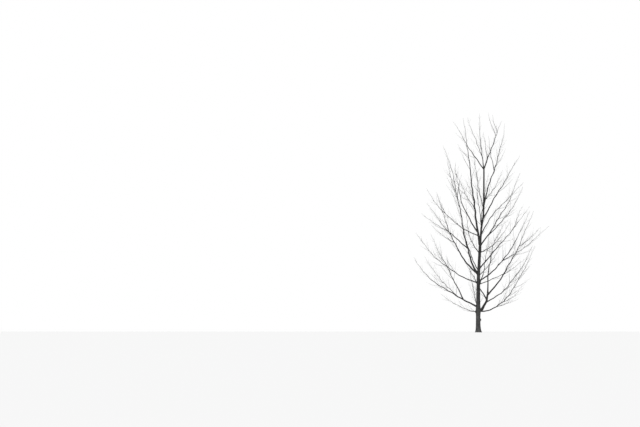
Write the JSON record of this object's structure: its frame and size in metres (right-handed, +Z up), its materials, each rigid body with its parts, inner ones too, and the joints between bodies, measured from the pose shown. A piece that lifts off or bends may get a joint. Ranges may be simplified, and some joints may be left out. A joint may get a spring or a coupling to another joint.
{
  "type": "bare winter tree",
  "caption": "Young open-grown shade tree in winter, bare of leaves: leaning trunk with root flare, upswept boughs and masses of fine twigs, rooted in level ground.",
  "frame": {"origin": "middle of the flat cut under the trunk, at ground level", "axes": "+Z up, +X to the right of the picture, +Y away from the camera"},
  "size_m": [6.1631, 5.587, 10.0001],
  "materials": {
    "bark": "rough, shallowly furrowed dark grey bark",
    "twig_bark": "smooth dark grey-brown bark of young twigs"
  },
  "bodies": {
    "root": {"trunk": "bark", "bough_back_mid": "bark", "bough_front_low": "bark", "bough_leader_back_left": "bark", "bough_left_back_mid": "bark", "bough_left_back_rise": "bark", "bough_left_front_high": "bark", "bough_left_low": "bark", "bough_left_pole": "bark", "bough_left_upper": "bark", "bough_left_wide": "bark", "bough_right_back_low": "bark", "bough_right_back_mid": "bark", "bough_right_fork": "bark", "bough_right_front_low": "bark", "bough_right_front_mid": "bark", "bough_right_front_rise": "bark", "bough_right_high": "bark", "bough_right_main": "bark", "bough_right_root": "bark", "bough_right_top": "bark", "bough_right_upper": "bark", "bough_second_leader": "bark", "twigs_back_centre": "twig_bark", "twigs_back_high": "twig_bark", "twigs_back_low": "twig_bark", "twigs_back_mid": "twig_bark", "twigs_back_right_inner": "twig_bark", "twigs_back_right_mid": "twig_bark", "twigs_front_cross": "twig_bark", "twigs_front_high": "twig_bark", "twigs_front_left_mid": "twig_bark", "twigs_front_low": "twig_bark", "twigs_front_right_high": "twig_bark", "twigs_leader_back_left": "twig_bark", "twigs_left_back_mid": "twig_bark", "twigs_left_back_rise": "twig_bark", "twigs_left_front_high": "twig_bark", "twigs_left_front_low": "twig_bark", "twigs_left_low": "twig_bark", "twigs_left_pole": "twig_bark", "twigs_left_skirt": "twig_bark", "twigs_left_upper": "twig_bark", "twigs_left_wide": "twig_bark", "twigs_right_back_low": "twig_bark", "twigs_right_back_mid": "twig_bark", "twigs_right_fork": "twig_bark", "twigs_right_fork_front": "twig_bark", "twigs_right_front_low": "twig_bark", "twigs_right_front_mid": "twig_bark", "twigs_right_front_rise": "twig_bark", "twigs_right_high": "twig_bark", "twigs_right_inner": "twig_bark", "twigs_right_main": "twig_bark", "twigs_right_top": "twig_bark", "twigs_right_upper": "twig_bark", "twigs_second_leader": "twig_bark", "twigs_top_centre": "twig_bark", "twigs_top_left": "twig_bark", "twigs_top_right": "twig_bark"}
  },
  "joints": []
}
